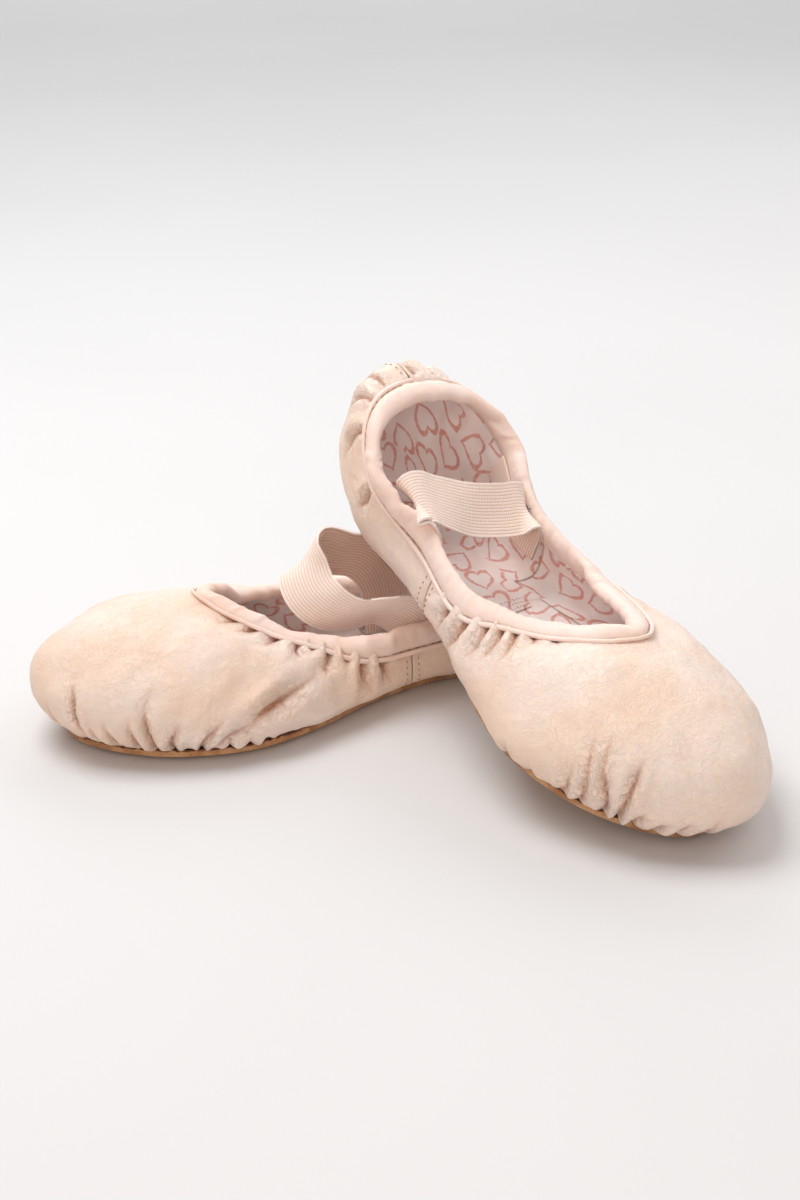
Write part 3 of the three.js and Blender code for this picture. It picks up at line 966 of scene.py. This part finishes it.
@dataclass
class Upper:
    """The pleated leather vamp and quarters, their seams and their stitching."""

    shoe: Slipper
    thickness: float = 1.1
    seam_gap: float = 0.5
    tucked: float = 6.6
    crease_gain: float = 1.15
    column: float = 0.72
    rows: int = 116
    puff: float = 1.3
    feather_rise: float = 2.2
    stitch: tuple = (1.3, 0.55, 0.4)
    stitch_pitch: float = 2.6

    def __post_init__(self) -> None:
        """Draws the leather's own last and gathers every crease on it."""
        base = self.shoe.last
        self.last = Last(base.slump, self.feather_rise)
        if base.slump > 0:
            pleats = (22.3, 34, 0.62), (12.5, 17.2, 0.9)
            gathers = (33.2, 38.4, 0.75, 2.0, 0.22), (0.4, 8.4, 0.9, 1.3, 0.2), (39.6, 47.6, 0.9, 1.3, 0.2)
        else:
            pleats = (14.5, 25.2, 0.6), (31.0, 36.5, 0.9)
            gathers = (9.8, 15.0, 0.75, 2.0, 0.25), (0.4, 8.4, 1.2, 1.2, 0.3), (46.6, 47.7, 1.0, 0.9, 0.2)
        creases = list(self.shoe.creases)
        makers = [(sole_pleats, row) for row in pleats] + [(topline_gathers, row) for row in gathers]
        for step, (maker, row) in enumerate(makers):
            creases += maker(self.shoe.seed + step, *row)
        self.wrinkles = Wrinkles(self.last, creases)

    def relief(self, points: Points, station: Points, drop: Points) -> tuple:
        """How far the leather stands out at places on its last, and how creased it is there."""
        flat = points.reshape(-1, 3)
        push, creased, pinched = (values.reshape(drop.shape) for values in self.wrinkles.press(flat))
        push = self.crease_gain * push
        height = self.last.height(station)[:, None]
        low = 1 - smoothstep(3, 22, height - drop)
        push = np.clip(push, -2.8, 2.2) * smoothstep(0, 3.0, height - drop)
        push += 0.45 * ripple(points, 34, self.shoe.seed) + 0.16 * ripple(points, 11, self.shoe.seed + 5)
        push += 0.09 * ripple(points, 4.5, self.shoe.seed + 6) * (0.4 + creased)
        push += self.puff * smoothstep(10, 24, drop) * (1 - low)
        push -= 0.4 * (1 - smoothstep(self.tucked, 11, drop))
        seam = np.minimum(abs(station - SIDE_SEAM), abs(station - (STATIONS - SIDE_SEAM)))[:, None] * 8.5
        groove = 0.35 * np.exp(-(((seam - 2.2) / 0.8) ** 2)) - 0.5 * np.exp(-((seam / 0.9) ** 2))
        push = push * smoothstep(0.3, 2.0, seam) + groove
        heel = np.minimum(station, STATIONS - station)[:, None] * 9
        push -= 0.7 * np.exp(-((heel / 0.8) ** 2))
        shoulder = smoothstep(6.0, 0.5, np.minimum(station, STATIONS - station))[:, None]
        push += 2.6 * shoulder * np.exp(-(((drop - 17) / 8) ** 2))
        return push, creased, pinched

    def surface(self, station: Points, drop: Points) -> tuple:
        """Creased leather: points, normals, how creased each point is and how much painted shade its creases get.
        """
        points, normals = self.last.at(station, drop)
        push, creased, pinched = self.relief(points, station, drop)
        # Painted shade, strongest in the deep parts of the creases and along their lines.
        painted_crease_shade = np.maximum(np.clip(-push / 1.8, 0, 1) * creased, pinched)
        return points + push[..., None] * normals, normals, creased, painted_crease_shade

    def panel(self, name: str, first: float, last: float) -> None:
        """One cut panel of leather between two stations."""
        girth = (last - first) * MM_PER_STATION
        station = np.linspace(first, last, int(girth / self.column))
        station[0] += self.seam_gap / 2 / MM_PER_STATION
        station[-1] -= self.seam_gap / 2 / MM_PER_STATION
        height = self.last.height(station)[:, None]
        top = self.tucked * band_share(station)[:, None]
        drop = top + (height - top) * np.linspace(0, 1, self.rows)[None]
        points, _, creased, painted_crease_shade = self.surface(station, drop)
        uv = pairs(station[:, None] * MM_PER_STATION, drop)
        # The second mark is the amount of painted shade in the creases.
        marks = {"creased": creased, "painted_crease_shade": painted_crease_shade}
        piece = add_sheet(f"{self.shoe.prefix}_{name}_leather", self.shoe.place(points), uv, marks)
        thicken(piece, self.thickness)
        self.shoe.keep(piece, self.shoe.finishes.leather, Slot.LEATHER, name)

    def seam_stitches(self) -> None:
        """A row of topstitching on each side of the side seams and of the heel seam."""
        centres, along, out = [], [], []
        for seam, offset in ((SIDE_SEAM, 2.4), (STATIONS - SIDE_SEAM, 2.4), (STATIONS, 2.6)):
            for aside in (-offset, offset):
                station = (seam + aside / MM_PER_STATION) % STATIONS
                bottom = float(self.last.height(station)[0]) - 6
                drops = np.arange(12.5, bottom, self.stitch_pitch)
                points, normals, _, _ = self.surface(np.array([station]), np.r_[drops, drops[-1] + 1][None])
                centres.append(points[0, :-1] + 0.12 * normals[0, :-1])
                along.append(unit(np.diff(points[0], axis=0)))
                out.append(normals[0, :-1])
        self.shoe.sew("seam_topstitching", *map(np.vstack, (centres, along, out)), self.stitch,
                      self.shoe.finishes.thread)

    def build(self) -> None:
        """Makes the three panels and their topstitching."""
        self.panel("vamp", SIDE_SEAM, STATIONS - SIDE_SEAM)
        self.panel("quarter_left", 0, SIDE_SEAM)
        self.panel("quarter_right", STATIONS - SIDE_SEAM, STATIONS)
        self.seam_stitches()


@dataclass
class Topline:
    """The padded binding, the rolled ridge under it, its stitches and the drawcord in it."""

    shoe: Slipper
    sections: int = 640
    depth: float = 8.1
    ridge_width: float = 2.0
    stitch: tuple = (1.9, 0.6, 0.45)
    stitch_pitch: float = 3.6

    def swept(self, name: str, profile: Points, slack: float, seed: int) -> Piece:
        """A closed ring of one section, as (drop, outward) pairs, with a little slack in it."""
        station = np.arange(self.sections) / self.sections * STATIONS
        ring, _ = self.shoe.last.at(station, [0.0])
        waves = ((1, 19), (0.6, 8), (0.35, 3.6))
        loose = slack * sum(share * ripple(ring, wave, seed + k) for k, (share, wave) in enumerate(waves))
        drop = profile[None, :, 0] * band_share(station)[:, None]
        lift = np.exp(-((drop / 4) ** 2))
        out = profile[None, :, 1] + loose * (0.5 + lift)
        points, _ = self.shoe.last.at(station, drop + 0.6 * loose * lift, out)
        perimeter = span(np.concatenate([ring, ring[:1]]))
        across = span(np.concatenate([profile, profile[:1]])[:, None])
        return add_loop(name, self.shoe.place(points), pairs(perimeter[:, None], across[None]))

    def build(self) -> None:
        """Makes the binding, the ridge, the stitches and the drawcord."""
        shoe, deep = self.shoe, self.depth
        outer_leg = [(-0.9, 0.5), (-0.2, 1.3), (1.2, 1.9), (2.8, 2.15), (4.4, 2.15), (6.0, 1.8), (7.3, 1.1),
                     (deep, 0.4)]
        inside = [(deep, 0.1), (6.5, 0.1), (4.0, 0.2), (1.4, 0.2), (0.9, -0.6), (0.9, -1.6), (1.4, -2.3),
                  (4.0, -2.3), (deep - 0.5, -2.3)]
        inner_leg = [(deep, -2.6), (deep - 0.2, -3.0), (7.0, -3.4), (5.6, -3.8), (4.0, -3.9), (2.2, -3.7),
                     (0.6, -3.2), (-0.5, -2.3), (-1.15, -1.3), (-1.25, -0.4)]
        profile = np.array(outer_leg + inside + inner_leg)
        piece = self.swept(f"{shoe.prefix}_binding", profile, 0.35, shoe.seed + 20)
        shoe.keep(piece, shoe.finishes.binding, Slot.BINDING, "topline_binding")
        turn = np.linspace(0, 2 * np.pi, 12, endpoint=False)
        round_section = np.stack([deep + 1.15 - self.ridge_width / 2 * np.cos(turn),
                                  0.75 + self.ridge_width * 0.42 * np.sin(turn)], axis=1)
        piece = self.swept(f"{shoe.prefix}_rolled_ridge", round_section, 0.12, shoe.seed + 30)
        shoe.keep(piece, shoe.finishes.binding, Slot.BINDING)
        cord = np.array([(1.9, -0.4), (3.2, -0.4), (3.5, -0.7), (3.2, -1.4), (1.9, -1.4), (1.6, -0.9)])
        piece = self.swept(f"{shoe.prefix}_elastic_drawcord", cord, 0.0, 1)
        shoe.keep(piece, shoe.finishes.elastic, Slot.ELASTIC, "drawcord")
        self.stitches()

    def stitches(self) -> None:
        """Topstitches in the groove between the binding and the ridge."""
        shoe = self.shoe
        fine = np.linspace(0, STATIONS, 1201)
        line = shoe.last.at(fine, [self.depth])[0][:, 0]
        length = span(line[:, None])
        count = int(length[-1] / self.stitch_pitch)
        station = np.interp(np.arange(count) * self.stitch_pitch, length, fine)
        drop = (self.depth + 0.05) * band_share(station)[:, None]
        points, normals = shoe.last.at(station, drop, 0.55)
        ahead = shoe.last.at(station + 0.05, drop, 0.55)[0]
        shoe.sew("binding_stitches", points[:, 0], (ahead - points)[:, 0], normals[:, 0], self.stitch,
                 shoe.finishes.thread)


@dataclass
class Lining:
    """The printed cotton inside the upper and on the insole."""

    shoe: Slipper
    upper: Upper
    thickness: float = 0.4
    clearance: float = 0.45
    depth: float = 1.6
    rows: int = 84
    columns_per_station: float = 10.0
    sock_front: float = 84.0
    inset: float = -0.1
    sock_top: float = 5.3
    board_top: float = 4.3
    rim_lift: float = 1.75
    feather_rise: float = 2.2
    columns: int = 240
    stitch: tuple = (1.6, 0.4, 0.3)
    tab_size: float = 12.0
    tab_corner: tuple = (5.7, 5.5)
    tab_above: float = 2.4

    def __post_init__(self) -> None:
        """Draws the lining's own last, whose feather edge lies on the sole's rim."""
        self.last = Last(self.shoe.last.slump, self.feather_rise)

    def panel(self, name: str, first: float, last: float) -> None:
        """One panel of lining, with the soft folds of cloth that is only held at its edges."""
        shoe = self.shoe
        station = np.linspace(first, last, int((last - first) * self.columns_per_station))
        station[0] += 0.03
        station[-1] -= 0.03
        height = self.last.height(station)[:, None]
        drop = 5.0 + (height - 5.0) * np.linspace(0, 1, self.rows)[None]
        bare, _ = self.last.at(station, drop)
        free = smoothstep(7, 16, drop) * smoothstep(1, 10, height - drop)
        fold = 0.9 * ripple(bare * [1, 1, 0.35], 21, shoe.seed + 40)
        fold += 0.35 * ripple(bare * [1, 1, 0.4], 8, shoe.seed + 41)
        inward = self.depth - 0.25 + free * (0.9 + np.clip(fold, -0.8, 2.0))
        leather = self.upper.relief(bare, station, drop)[0]
        inward = np.maximum(inward, self.upper.thickness + self.clearance - leather)
        points, _ = self.last.at(station, drop, -inward)
        piece = add_sheet(f"{shoe.prefix}_{name}_cotton", shoe.place(points), pairs(span(bare)[:, None], drop))
        thicken(piece, self.thickness)
        shoe.keep(piece, shoe.finishes.cotton, Slot.COTTON, name)

    def insole(self, name: str, top: float, start: float, end: float, *nodes: str) -> None:
        """A soft-edged sheet of printed cotton over the board, between two distances from the heel."""
        shoe = self.shoe
        outline = shoe.last.outline(self.columns, -self.inset)
        middle = np.array([min(max(105.0, start + 15), end - 15), 0.0])
        rim = outline[:, :2].copy()
        rim[:, 0] = np.clip(rim[:, 0], start, end)
        side = outline[:self.columns // 2]
        side = side[np.argsort(side[:, 0])]
        half = np.interp(rim[:, 0], side[:, 0], np.abs(side[:, 1]))
        rim[:, 1] = np.clip(rim[:, 1], -half, half)
        layers = [(0.0, top), *((s, top) for s in np.linspace(0.12, 0.96, 14)), (0.99, top), (1.0, top - 0.1),
                  (1.0, top - 0.4), (0.97, top - 0.7), (0.9, self.board_top), (0.0, self.board_top)]
        stack = np.array([np.column_stack([middle + share * (rim - middle), np.full(self.columns, z)])
                          for share, z in layers])
        soft = 0.16 * ripple(stack, 17, shoe.seed + 50)
        soft[-4:] = 0
        edge = np.array([smoothstep(0.78, 1.0, share) for share, _ in layers])[:, None]
        curled = (np.abs(rim[:, 0] - outline[:, 0]) < 0.1)[None]
        stack[..., 2] += soft + self.rim_lift * edge * curled
        piece = add_plate(f"{shoe.prefix}_{name}", shoe.place(stack), stack[..., :2])
        shoe.keep(piece, shoe.finishes.cotton, Slot.COTTON, *nodes)

    def zigzag(self) -> None:
        """Three rows of zigzag stitches along the front edge of the sock."""
        shoe = self.shoe
        across = np.arange(-21.0, 21.0, 1.5)
        centres, along = [], []
        for row, back in enumerate((1.5, 3.6, 5.7)):
            lean = np.where(np.arange(len(across)) % 2 == 0, 1.0, -1.0)
            centres.append(np.column_stack([np.full(len(across), self.sock_front - back), across + 0.5 * row,
                                            np.full(len(across), self.sock_top + 0.12)]))
            along.append(np.column_stack([lean * 0.9, np.full(len(across), 0.75), 0 * lean]))
        centres, along = np.vstack(centres), np.vstack(along)
        out = np.tile([0.0, 0.0, 1.0], (len(centres), 1))
        shoe.sew("sock_zigzag", centres, along, out, self.stitch, shoe.finishes.pale_thread)

    def tab(self) -> None:
        """The free end of a tape sewn under the topline on the left side."""
        shoe, size, (start, top) = self.shoe, self.tab_size, self.tab_corner
        across = np.linspace(0, size, 15)
        station = start + across / MM_PER_STATION
        drop = np.broadcast_to(top + np.linspace(0, size, 15), (15, 15))
        curl = 0.7 * smoothstep(0.4, 1.0, (drop - top) / size) * smoothstep(0, size, across)[:, None]
        points, _ = self.last.at(station, drop, -(self.depth + self.thickness + self.tab_above + curl))
        piece = add_sheet(f"{shoe.prefix}_free_tab", shoe.place(points), pairs(across[:, None], drop))
        thicken(piece, 0.6)
        shoe.keep(piece, shoe.finishes.binding, Slot.BINDING)

    def build(self) -> None:
        """Makes the lining's three panels, the heel sock, the forefoot sock and its stitches."""
        self.panel("vamp_lining", SIDE_SEAM, STATIONS - SIDE_SEAM)
        self.panel("quarter_lining_left", 0, SIDE_SEAM)
        self.panel("quarter_lining_right", STATIONS - SIDE_SEAM, STATIONS)
        self.insole("heel_sock", self.sock_top, 0, self.sock_front, "insole_sock")
        self.insole("forefoot_sock", self.board_top + 0.35, self.sock_front - 4, 220)
        self.zigzag()
        self.tab()


@dataclass
class Sole:
    """The suede outsole, whose cut edge stands up round the leather."""

    shoe: Slipper
    flare: float = 0.9
    forefoot_flare: float = 2.9
    edge_height: float = 5.0
    columns: int = 420

    def build(self) -> None:
        """Makes the outsole as one plate with a soft, ragged edge."""
        shoe = self.shoe
        ragged = 0.12 * np.random.default_rng(shoe.seed + 60).normal(size=self.columns)
        tall, out = self.edge_height, self.flare
        # The last number of each rim layer is its share of the dark edge colour, partly raw cut and partly painted
        # shadow under the leather's overhang.
        rim = [(0.0, -3.2, 2.7, 0), (0.35, -3.2, 2.7, 0), (0.8, -3.2, 2.7, 0), (1, -3.2, 2.7, 0.2),
               (1, -1.4, 2.9, 0.6), (1, -0.9, tall - 1.1, 1.0), (1, -0.3, tall - 0.4, 1.0),
               (1, out, tall - 0.1, 0.8), (1, out + 0.45, tall - 1.0, 0.2), (1, out + 0.5, 2.4, 0.0),
               (1, 0.6, 0.9, 0.0), (1, -0.4, 0.15, 0), (1, -1.6, 0.0, 0), (0.8, -1.6, 0, 0),
               (0.35, -1.6, 0, 0), (0.0, -1.6, 0, 0)]
        layers, edge = [], []
        middle = np.array([110.0, 0.0, 0.0])
        forefoot = self.forefoot_flare * smoothstep(70, 125, shoe.last.outline(self.columns)[:, :1])
        for share, outward, height, dark in rim:
            wide = forefoot * smoothstep(0.3, 2.2, height) * (outward > -1)
            outline = shoe.last.outline(self.columns, outward + wide)
            outline[:, 2] = 0
            place = middle + share * (outline - middle)
            place[:, 2] = height + (ragged * 1.6 if height > 3 else 0)
            layers.append(place)
            edge.append(np.full(self.columns, dark))
        marks = {"edge": np.array(edge)}
        piece = add_plate(f"{shoe.prefix}_suede_outsole", shoe.place(np.array(layers)), marks=marks)
        shoe.keep(piece, shoe.finishes.suede, Slot.SUEDE, "outsole", smooth=50)
        board = frame["nodes"][f"{shoe.prefix}_insole_board"]
        board.data.materials.clear()
        board.data.materials.append(shoe.finishes.board)


@dataclass
class Strap:
    """The ribbed elastic over the instep, its sewn ends and the dark bar tacks on them."""

    shoe: Slipper
    route: list
    width: float = 21.0
    thickness: float = 1.1
    ribs: int = 17
    rib_height: float = 0.13
    columns: int = 170
    rows: int = 103
    tack_right: float = 8.0
    tack_left: float = 13.0
    stitch: tuple = (1.9, 0.42, 0.3)
    blend_from: tuple = (0, 0, 0)
    blend_to: tuple = (0, 0, 9)

    def frames(self) -> tuple:
        """The strap's centre line, its width direction and its face, from the route.

        The route lists centre x, y and z and the width direction's x, y and z.
        """
        line = smooth_line(self.route, self.columns)
        centre, across = line[:, :3], unit(line[:, 3:])
        along = unit(np.gradient(centre, axis=0))
        across = unit(across - (across * along).sum(1, keepdims=True) * along)
        return centre, across, unit(np.cross(across, along))

    def band(self) -> Piece:
        """The elastic itself, with a rib on each cord of rubber."""
        centre, across, face = self.frames()
        share = np.linspace(-1, 1, self.rows)
        rib = np.abs(np.sin((share + 1) / 2 * np.pi * self.ribs))
        rise = self.rib_height * np.sqrt(rib) + 0.12 * smoothstep(0.95, 1.0, np.abs(share))
        points = (centre[:, None] + across[:, None] * (share * self.width / 2)[None, :, None]
                  + face[:, None] * (rise + self.thickness / 2)[None, :, None])
        length = span(centre[:, None])
        points += face[:, None] * (0.25 * ripple(points, 26, self.shoe.seed + 70))[..., None]
        uv = pairs(length[:, None], (share * self.width / 2)[None])
        # The groove mark sets where shade is painted between the ribs.
        marks = {"groove": np.broadcast_to(1 - rib, (self.columns, self.rows)) * (np.abs(share) < 0.96)}
        piece = add_sheet(f"{self.shoe.prefix}_elastic_strap", self.shoe.place(points), uv, marks)
        normal = np.empty(len(piece.data.polygons) * 3)
        piece.data.polygons.foreach_get("normal", normal)
        if (normal.reshape(-1, 3).mean(0) @ self.shoe.turn(face).mean(0)) < 0:
            edit(piece, (bpy.ops.mesh.flip_normals, {}))
        thicken(piece, self.thickness)
        return piece

    def bar_tack(self, side: Side) -> None:
        """A patch of dense dark zigzag that holds one end of the strap."""
        centre, across, face = self.frames()
        walked = span(centre[:, None])
        reach = self.tack_right if side is Side.RIGHT else walked[-1] - self.tack_left
        near = int(np.searchsorted(walked, reach))
        along = unit(np.gradient(centre, axis=0))[near]
        random = np.random.default_rng(self.shoe.seed + 80)
        centres, directions = [], []
        for row in np.arange(-4.2, 4.3, 1.4):
            for k, step in enumerate(np.arange(-9.6, 0.5, 1.2)):
                lean = 1 if k % 2 else -1
                wander = random.normal(0, 0.12, 2)
                centres.append(centre[near] + along * (row + wander[0]) + across[near] * (step + wander[1])
                               + face[near] * (self.thickness / 2 + self.rib_height + 0.15))
                directions.append(along * 0.8 * lean + across[near] * 0.7)
        out = np.tile(face[near], (len(centres), 1))
        self.shoe.sew(f"bar_tack_{side.value}", np.array(centres), np.array(directions), out, self.stitch,
                      self.shoe.finishes.dark_thread, f"strap_stitch_{side.value}")

    def build(self) -> None:
        """Makes the strap and both bar tacks."""
        shoe = self.shoe
        piece = self.band()
        shoe.keep(piece, shoe.finishes.elastic, Slot.ELASTIC, "strap", "strap_end_left", "strap_end_right",
                  rides=False)
        steps = (self.blend_from, self.blend_to)
        start, end = (shoe.place(shoe.pivot + np.array(step, float)) for step in steps)
        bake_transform(piece)
        self.bar_tack(Side.RIGHT)
        self.bar_tack(Side.LEFT)


# ---------------------------------------------------------------- the studio
@dataclass
class Studio:
    """A plain pale floor, soft light and the camera."""

    azimuth: float = -24.4
    elevation: float = 25.5
    distance: float = 0.833
    target: tuple = (0.0716, 0.0585, 0.0)
    focal: float = 1890.4
    long_side: int = 1200
    sensor: float = 36.0
    floor: str = "#dedede"

    def floor_and_world(self) -> None:
        """A wide floor and an even pale surround."""
        bpy.ops.object.select_all(action="DESELECT")
        bpy.ops.mesh.primitive_plane_add(size=12, location=(0, 0, -0.0002))
        floor = bpy.context.active_object
        floor.name = "floor"
        look = Finish("pale_paper_floor", Specular_IOR_Level=0.1)
        cloud = look.add("TexNoise", {"Vector": look.place, "Scale": per_mm(300), "Detail": 2})
        base = look.coats(self.floor, (Eased(cloud, 0.3, 0.7), "#dcdcdc"))
        floor.data.materials.append(look.dress(base, 0.9))
        world = bpy.data.worlds.new("surround")
        bpy.context.scene.world = world
        world.use_nodes = True
        background = world.node_tree.nodes["Background"]
        background.inputs["Color"].default_value = colour("#f6f6f8")
        background.inputs["Strength"].default_value = 0.42

    def light(self, name: str, place: tuple, size: float, power: float, tint: str,
              aim: tuple = (0.07, 0.06, 0.0)) -> None:
        """One square soft box, aimed at the slippers or elsewhere."""
        lamp = bpy.data.lights.new(name, "AREA")
        lamp.energy, lamp.size, lamp.color = power, size, colour(tint)[:3]
        box = bpy.data.objects.new(name, lamp)
        bpy.context.scene.collection.objects.link(box)
        box.location = place
        box.rotation_euler = (Vector(aim) - Vector(place)).to_track_quat("-Z", "Y").to_euler()

    def camera(self) -> None:
        """The camera, level and aimed at the target."""
        turn, tilt = math.radians(self.azimuth), math.radians(self.elevation)
        back = Vector((math.sin(turn) * math.cos(tilt), -math.cos(turn) * math.cos(tilt), math.sin(tilt)))
        lens = bpy.data.cameras.new("camera")
        lens.sensor_width = self.sensor
        lens.lens = self.sensor * self.focal / self.long_side
        lens.clip_start = 0.01
        camera = bpy.data.objects.new("camera", lens)
        bpy.context.scene.collection.objects.link(camera)
        camera.location = Vector(self.target) + back * self.distance
        camera.rotation_euler = (-back).to_track_quat("-Z", "Y").to_euler()
        bpy.context.scene.camera = camera

    def build(self) -> None:
        """Sets up the floor, the lights and the camera."""
        self.floor_and_world()
        self.light("key_box", (-0.3, 0.3, 1.25), 0.8, 12.3, "#ffffff")
        self.light("fill_box", (-0.6, -1.25, 0.75), 1.3, 6.6, "#ffe6d3")
        self.light("rim_box", (1.1, 0.2, 0.9), 1.0, 4.2, "#fffaf8")
        self.light("background_box", (1.3, 3.4, 2.2), 2.5, 50.0, "#ffffff", (1.1, 2.9, 0.0))
        self.camera()
        view = bpy.context.scene.view_settings
        view.view_transform, view.look = "Standard", "None"


def standing_loop() -> list:
    """The route of a strap that stands as a loose, twisted loop and leans towards the toe."""
    return [
        (61, -20.4, 8, 1, 0, 0), (61.3, -20.6, 16, 1, 0, 0), (62, -20.6, 22, 0.95, 0, -0.3),
        (63.8, -20.4, 30, 0.66, 0, -0.75), (68, -19.5, 38.5, 0.34, -0.1, -0.93),
        (75, -17.3, 45, 0.3, -0.2, -0.93), (84, -14.5, 48.5, 0.15, -0.3, -0.94),
        (95, -9.5, 54.5, 0.35, -0.1, -0.92), (103, -3, 57.5, 0.6, 0.05, -0.78), (108, 4, 55.5, 0.68, 0.2, -0.7),
        (108.5, 11, 49, 0.7, 0.05, -0.7), (104, 16, 43, 0.55, -0.25, -0.8), (97.5, 17, 38.7, 0.3, -0.45, -0.84),
        (90, 17, 37.3, 0.05, -0.6, -0.8), (81, 18, 37.5, 0, -0.6, -0.8), (72.5, 19.3, 34.5, 0.35, -0.35, -0.86),
        (66, 20.7, 27.5, 0.8, -0.05, -0.5), (63, 21, 18, 1, 0, 0), (62, 20.7, 8, 1, 0, 0),
    ]


def sagging_span() -> list:
    """The route of a strap that crosses the opening and folds over the binding on its right side."""
    return [
        (57.5, -20.6, 20.5, 1, 0, 0), (57, -20.9, 28, 1, 0, 0), (55, -21.4, 34.5, 0.97, 0, -0.24),
        (52.6, -22.9, 39.6, 0.92, 0, -0.4), (50.8, -25.6, 42.6, 0.89, 0, -0.46),
        (50.7, -25.4, 44.9, 0.89, 0, -0.46),
        (51.6, -21.5, 45.2, 0.87, 0, -0.49), (53.2, -14, 42, 0.82, 0, -0.57), (56.4, -1, 37.4, 0.74, 0, -0.67),
        (60, 11, 36.6, 0.74, 0, -0.67), (63, 17.5, 38, 0.8, 0, -0.6), (64.2, 20.6, 36.6, 0.93, 0, -0.37),
        (64.4, 21.2, 30, 1, 0, 0), (64, 20.9, 20.5, 1, 0, 0),
    ]


def main() -> None:
    """Builds the studio and the two slippers; each piece logs its vertex count."""
    logging.basicConfig(level=logging.INFO, format="%(message)s")
    Studio().build()
    finishes = Wardrobe()
    resting = Slipper("resting", "floor_rest", "resting_strap_swing", finishes, Last(0.28), 11, RESTING_CREASES)
    propped = Slipper("propped", "propped_sole", "propped_strap_swing", finishes, Last(), 47, PROPPED_CREASES)
    standing = Strap(resting, standing_loop(), blend_to=(34, 0, 22), tack_right=13.0, tack_left=8.0)
    sagging = Strap(propped, sagging_span())
    for shoe, strap in ((resting, standing), (propped, sagging)):
        upper = Upper(shoe)
        Sole(shoe).build()
        Lining(shoe, upper).build()
        upper.build()
        Topline(shoe).build()
        strap.build()


if __name__ == "__main__":
    main()
